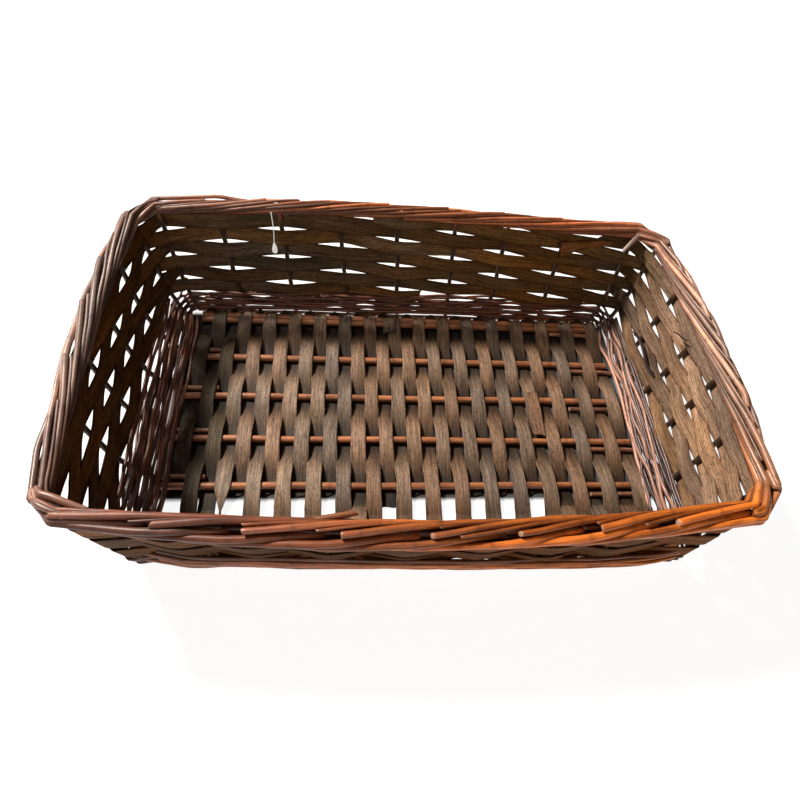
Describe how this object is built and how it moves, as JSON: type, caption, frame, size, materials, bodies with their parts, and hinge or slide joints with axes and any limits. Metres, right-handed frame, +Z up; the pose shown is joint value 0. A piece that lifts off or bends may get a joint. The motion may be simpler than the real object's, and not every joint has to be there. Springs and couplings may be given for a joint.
{
  "type": "open rectangular tray basket",
  "caption": "Shallow rectangular tray basket with flared woven side walls, a flat woven floor and a rolled rod border, for holding and carrying loose goods.",
  "frame": {"origin": "middle of the footprint's bounding box, on the surface the basket stands on", "axes": "+X along the long side towards the right as the picture shows it, +Y from the near wall to the far wall, +Z up"},
  "size_m": [0.4676, 0.2964, 0.1161],
  "materials": {
    "floor_willow": "smooth peeled willow rod, stained orange-brown, satin",
    "floor_strip": "thin split wood strip, stained grey-brown, dry matte grain",
    "stake_willow": "unpeeled willow rod, stained reddish brown, satin with darker bands",
    "side_strip": "thin split wood strip, stained umber brown, dry matte grain",
    "wale_willow": "thin unpeeled willow rod, stained dark reddish brown, satin",
    "thread": "fine white twisted thread, matte",
    "tag_card": "plain white card, matte, blank"
  },
  "bodies": {
    "basket": {"floor_edge_rod_back_inner": "floor_willow", "floor_edge_rod_back_outer": "floor_willow", "floor_edge_rod_front_inner": "floor_willow", "floor_edge_rod_front_outer": "floor_willow", "floor_stick_1": "floor_willow", "floor_stick_2": "floor_willow", "floor_stick_3": "floor_willow", "floor_stick_4": "floor_willow", "floor_weave_01": "floor_strip", "floor_weave_02": "floor_strip", "floor_weave_03": "floor_strip", "floor_weave_04": "floor_strip", "floor_weave_05": "floor_strip", "floor_weave_06": "floor_strip", "floor_weave_07": "floor_strip", "floor_weave_08": "floor_strip", "floor_weave_09": "floor_strip", "floor_weave_10": "floor_strip", "floor_weave_11": "floor_strip", "floor_weave_12": "floor_strip", "side_strip_row_1": "side_strip", "side_strip_row_2": "side_strip", "side_strip_row_3": "side_strip", "side_strip_row_4": "side_strip", "side_strip_row_5": "side_strip", "side_strip_row_6": "side_strip", "stake_back_1": "stake_willow", "stake_back_2": "stake_willow", "stake_back_3": "stake_willow", "stake_back_4": "stake_willow", "stake_back_5": "stake_willow", "stake_back_6": "stake_willow", "stake_back_7": "stake_willow", "stake_back_8": "stake_willow", "stake_back_9": "stake_willow", "stake_front_1": "stake_willow", "stake_front_2": "stake_willow", "stake_front_3": "stake_willow", "stake_front_4": "stake_willow", "stake_front_5": "stake_willow", "stake_front_6": "stake_willow", "stake_front_7": "stake_willow", "stake_front_8": "stake_willow", "stake_front_9": "stake_willow", "stake_left_1": "stake_willow", "stake_left_2": "stake_willow", "stake_left_3": "stake_willow", "stake_left_4": "stake_willow", "stake_left_5": "stake_willow", "stake_left_6": "stake_willow", "stake_right_1": "stake_willow", "stake_right_2": "stake_willow", "stake_right_3": "stake_willow", "stake_right_4": "stake_willow", "stake_right_5": "stake_willow", "stake_right_6": "stake_willow", "wale_rod_1": "wale_willow", "wale_rod_2": "wale_willow"},
    "tag": {"hang_tag": "tag_card", "tag_thread": "thread"}
  },
  "joints": [
    {"name": "tag_swing", "type": "hinge", "parent": "basket", "child": "tag", "pos_m": [-0.11283, 0.12866, 0.1115], "axis": [-1, 0, 0], "range_deg": [0, 100]}
  ]
}
